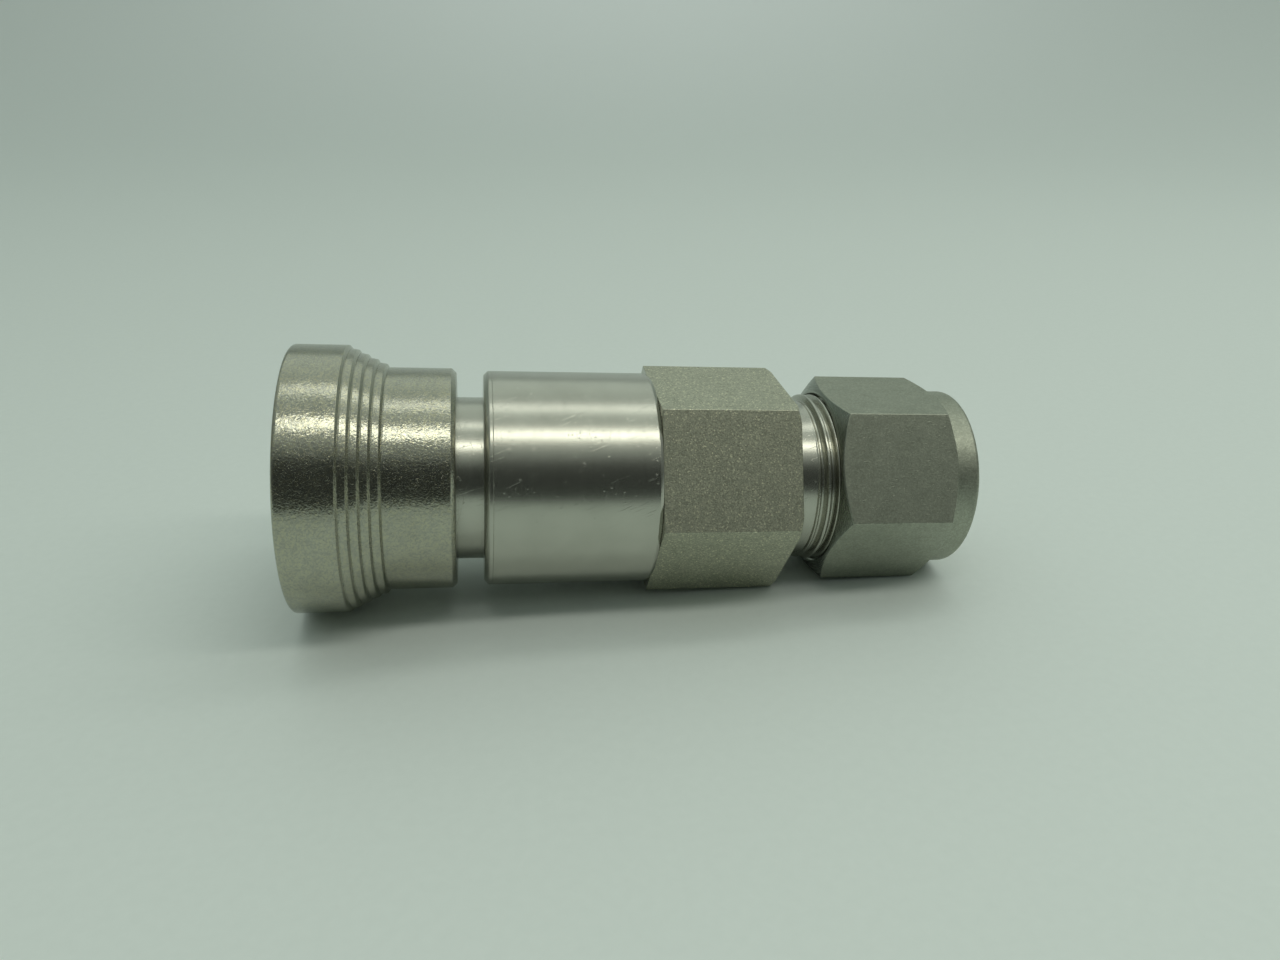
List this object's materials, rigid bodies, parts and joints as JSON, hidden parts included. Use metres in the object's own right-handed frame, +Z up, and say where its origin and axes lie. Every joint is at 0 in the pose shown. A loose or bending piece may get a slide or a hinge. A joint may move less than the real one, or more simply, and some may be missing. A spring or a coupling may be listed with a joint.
{
  "type": "quick-connect coupling body",
  "caption": "Ball-lock quick-connect coupling body with a sliding ribbed sleeve, a spring-loaded shut-off poppet, a hex tube connector and a compression nut for half-inch tube.",
  "frame": {"origin": "on the flow axis, at the centre of the coupling mouth: the plane of the lock sleeve's front rim at rest", "axes": "+X along the flow axis, from the coupling mouth towards the tube end; +Z up when the tube nut lies on one of its flats"},
  "size_m": [0.0792, 0.0308, 0.0308],
  "materials": {
    "tumbled_steel": "bright stainless steel, tumbled: covered in short fine scratches that glitter",
    "polished_steel": "smooth turned and polished stainless steel",
    "matte_steel": "matte, slightly gritty stainless steel flats",
    "dark_steel": "dark grey matte stainless steel",
    "spring_steel": "drawn stainless spring wire",
    "turned_steel": "fine turned stainless steel",
    "ball_steel": "ground and polished bearing balls",
    "ferrule_steel": "fine turned stainless steel",
    "seal_rubber": "black fluorocarbon rubber",
    "white_ptfe": "waxy white PTFE"
  },
  "bodies": {
    "coupling_body": {"coupling_body": "polished_steel", "sleeve_retaining_ring": "spring_steel", "stem_seal": "seal_rubber", "stem_backup_ring": "white_ptfe", "body_seal": "seal_rubber", "poppet_guide": "turned_steel", "poppet_spring": "spring_steel", "tube_connector": "matte_steel"},
    "sleeve_spring": {"sleeve_spring": "spring_steel"},
    "lock_sleeve": {"lock_sleeve": "tumbled_steel"},
    "valve_poppet": {"valve_poppet": "turned_steel", "poppet_seal": "seal_rubber"},
    "ferrules": {"front_ferrule": "ferrule_steel", "back_ferrule": "ferrule_steel"},
    "tube_nut": {"tube_nut": "dark_steel"},
    "lock_ball_1": {"lock_ball_1": "ball_steel"},
    "lock_ball_2": {"lock_ball_2": "ball_steel"},
    "lock_ball_3": {"lock_ball_3": "ball_steel"},
    "lock_ball_4": {"lock_ball_4": "ball_steel"},
    "lock_ball_5": {"lock_ball_5": "ball_steel"},
    "lock_ball_6": {"lock_ball_6": "ball_steel"},
    "lock_ball_7": {"lock_ball_7": "ball_steel"},
    "lock_ball_8": {"lock_ball_8": "ball_steel"}
  },
  "joints": [
    {"name": "sleeve_turn", "type": "hinge", "parent": "coupling_body", "child": "sleeve_spring", "pos_m": [0.009, 0, 0], "axis": [1, 0, 0], "continuous": true},
    {"name": "sleeve_slide", "type": "slide", "parent": "sleeve_spring", "child": "lock_sleeve", "axis": [1, 0, 0], "range_m": [0, 0.003], "stiffness_N_per_m": 1200, "springref_m": -0.004, "deforming": ["sleeve_spring"]},
    {"name": "poppet_slide", "type": "slide", "parent": "coupling_body", "child": "valve_poppet", "axis": [1, 0, 0], "range_m": [0, 0.0038], "stiffness_N_per_m": 400, "springref_m": -0.005, "deforming": ["poppet_spring"]},
    {"name": "nut_travel", "type": "slide", "parent": "coupling_body", "child": "ferrules", "axis": [1, 0, 0], "range_m": [0, 0.0077]},
    {"name": "nut_turn", "type": "hinge", "parent": "ferrules", "child": "tube_nut", "pos_m": [0.0665, 0, 0], "axis": [1, 0, 0], "range_deg": [0, 2160]},
    {"name": "ball_slide_1", "type": "slide", "parent": "coupling_body", "child": "lock_ball_1", "axis": [0, 0.9239, 0.3827], "range_m": [0, 0.00073]},
    {"name": "ball_slide_2", "type": "slide", "parent": "coupling_body", "child": "lock_ball_2", "axis": [0, 0.3827, 0.9239], "range_m": [0, 0.00073]},
    {"name": "ball_slide_3", "type": "slide", "parent": "coupling_body", "child": "lock_ball_3", "axis": [0, -0.3827, 0.9239], "range_m": [0, 0.00073]},
    {"name": "ball_slide_4", "type": "slide", "parent": "coupling_body", "child": "lock_ball_4", "axis": [0, -0.9239, 0.3827], "range_m": [0, 0.00073]},
    {"name": "ball_slide_5", "type": "slide", "parent": "coupling_body", "child": "lock_ball_5", "axis": [0, -0.9239, -0.3827], "range_m": [0, 0.00073]},
    {"name": "ball_slide_6", "type": "slide", "parent": "coupling_body", "child": "lock_ball_6", "axis": [0, -0.3827, -0.9239], "range_m": [0, 0.00073]},
    {"name": "ball_slide_7", "type": "slide", "parent": "coupling_body", "child": "lock_ball_7", "axis": [0, 0.3827, -0.9239], "range_m": [0, 0.00073]},
    {"name": "ball_slide_8", "type": "slide", "parent": "coupling_body", "child": "lock_ball_8", "axis": [0, 0.9239, -0.3827], "range_m": [0, 0.00073]}
  ],
  "couplings": [
    {"joint": "nut_travel", "follows": "nut_turn", "m_per_rad": 0.00020213},
    {"joint": "ball_slide_1", "follows": "sleeve_slide", "ratio": 0.24},
    {"joint": "ball_slide_2", "follows": "sleeve_slide", "ratio": 0.24},
    {"joint": "ball_slide_3", "follows": "sleeve_slide", "ratio": 0.24},
    {"joint": "ball_slide_4", "follows": "sleeve_slide", "ratio": 0.24},
    {"joint": "ball_slide_5", "follows": "sleeve_slide", "ratio": 0.24},
    {"joint": "ball_slide_6", "follows": "sleeve_slide", "ratio": 0.24},
    {"joint": "ball_slide_7", "follows": "sleeve_slide", "ratio": 0.24},
    {"joint": "ball_slide_8", "follows": "sleeve_slide", "ratio": 0.24}
  ]
}
